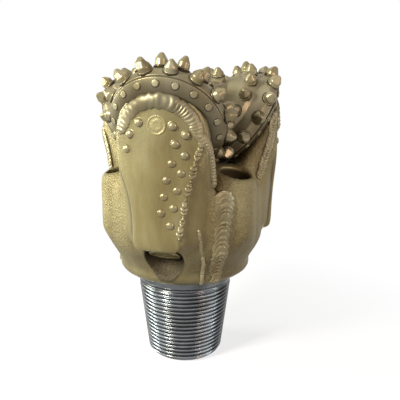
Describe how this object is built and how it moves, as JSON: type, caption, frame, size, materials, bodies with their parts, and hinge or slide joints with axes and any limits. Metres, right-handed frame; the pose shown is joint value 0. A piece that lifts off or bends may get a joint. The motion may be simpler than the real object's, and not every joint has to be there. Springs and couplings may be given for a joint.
{
  "type": "tricone drill bit",
  "caption": "Roller-cone rock drill bit: welded legs on a tapered threaded pin, each carrying a rolling cone studded with pointed carbide inserts, with jet nozzles and grease reservoirs.",
  "frame": {"origin": "on the bit's axis at the nose of the threaded pin, the middle of the base of the bounding box; the bore is there, so the point itself is in the open", "axes": "+Z along the bit's axis from the pin towards the cones; the front leg of the picture points to -Y turned 15 degrees towards -X"},
  "size_m": [0.212, 0.2126, 0.3558],
  "materials": {
    "gold_paint": "champagne gold paint with a slight metallic lustre",
    "weld_metal": "painted over weld ripples",
    "bearing_steel": "ground steel",
    "spring_steel": "dark blued steel",
    "bronze": "bearing bronze",
    "seal_rubber": "black moulded rubber",
    "carbide": "sintered carbide, ground"
  },
  "bodies": {
    "bit_body": {"leg_a": "gold_paint", "leg_b": "gold_paint", "leg_c": "gold_paint", "journal_bush_a": "bronze", "journal_bush_b": "bronze", "journal_bush_c": "bronze", "thrust_washer_a": "bronze", "thrust_washer_b": "bronze", "thrust_washer_c": "bronze", "ball_plug_a": "gold_paint", "ball_plug_b": "gold_paint", "ball_plug_c": "gold_paint", "leg_weld_a": "weld_metal", "leg_weld_b": "weld_metal", "leg_weld_c": "weld_metal", "shirttail_bead_a": "weld_metal", "shirttail_bead_b": "weld_metal", "shirttail_bead_c": "weld_metal", "cap_snap_ring_a": "spring_steel", "cap_snap_ring_b": "spring_steel", "cap_snap_ring_c": "spring_steel", "reservoir_cap_a": "bearing_steel", "reservoir_cap_b": "bearing_steel", "reservoir_cap_c": "bearing_steel", "diaphragm_a": "seal_rubber", "diaphragm_b": "seal_rubber", "diaphragm_c": "seal_rubber", "canister_a": "bearing_steel", "canister_b": "bearing_steel", "canister_c": "bearing_steel", "nozzle_a": "carbide", "nozzle_b": "carbide", "nozzle_c": "carbide", "nozzle_seal_a": "seal_rubber", "nozzle_seal_b": "seal_rubber", "nozzle_seal_c": "seal_rubber", "nozzle_retainer_a": "bearing_steel", "nozzle_retainer_b": "bearing_steel", "nozzle_retainer_c": "bearing_steel"},
    "cone_a": {"cone_a": "gold_paint", "cone_seal_a": "seal_rubber"},
    "balls_a": {"locking_balls_a": "bearing_steel"},
    "cone_b": {"cone_b": "gold_paint", "cone_seal_b": "seal_rubber"},
    "balls_b": {"locking_balls_b": "bearing_steel"},
    "cone_c": {"cone_c": "gold_paint", "cone_seal_c": "seal_rubber"},
    "balls_c": {"locking_balls_c": "bearing_steel"}
  },
  "joints": [
    {"name": "cone_a_turn", "type": "hinge", "parent": "bit_body", "child": "cone_a", "pos_m": [-0.01866, -0.06964, 0.28365], "axis": [0.2094, 0.7815, 0.5878], "continuous": true},
    {"name": "balls_a_roll", "type": "hinge", "parent": "bit_body", "child": "balls_a", "pos_m": [-0.01866, -0.06964, 0.28365], "axis": [0.2094, 0.7815, 0.5878], "continuous": true},
    {"name": "cone_b_turn", "type": "hinge", "parent": "bit_body", "child": "cone_b", "pos_m": [0.06964, 0.01866, 0.28365], "axis": [-0.7815, -0.2094, 0.5878], "continuous": true},
    {"name": "balls_b_roll", "type": "hinge", "parent": "bit_body", "child": "balls_b", "pos_m": [0.06964, 0.01866, 0.28365], "axis": [-0.7815, -0.2094, 0.5878], "continuous": true},
    {"name": "cone_c_turn", "type": "hinge", "parent": "bit_body", "child": "cone_c", "pos_m": [-0.05098, 0.05098, 0.28365], "axis": [0.5721, -0.5721, 0.5878], "continuous": true},
    {"name": "balls_c_roll", "type": "hinge", "parent": "bit_body", "child": "balls_c", "pos_m": [-0.05098, 0.05098, 0.28365], "axis": [0.5721, -0.5721, 0.5878], "continuous": true}
  ],
  "couplings": [
    {"joint": "balls_a_roll", "follows": "cone_a_turn", "ratio": 0.625},
    {"joint": "balls_b_roll", "follows": "cone_b_turn", "ratio": 0.625},
    {"joint": "balls_c_roll", "follows": "cone_c_turn", "ratio": 0.625}
  ]
}
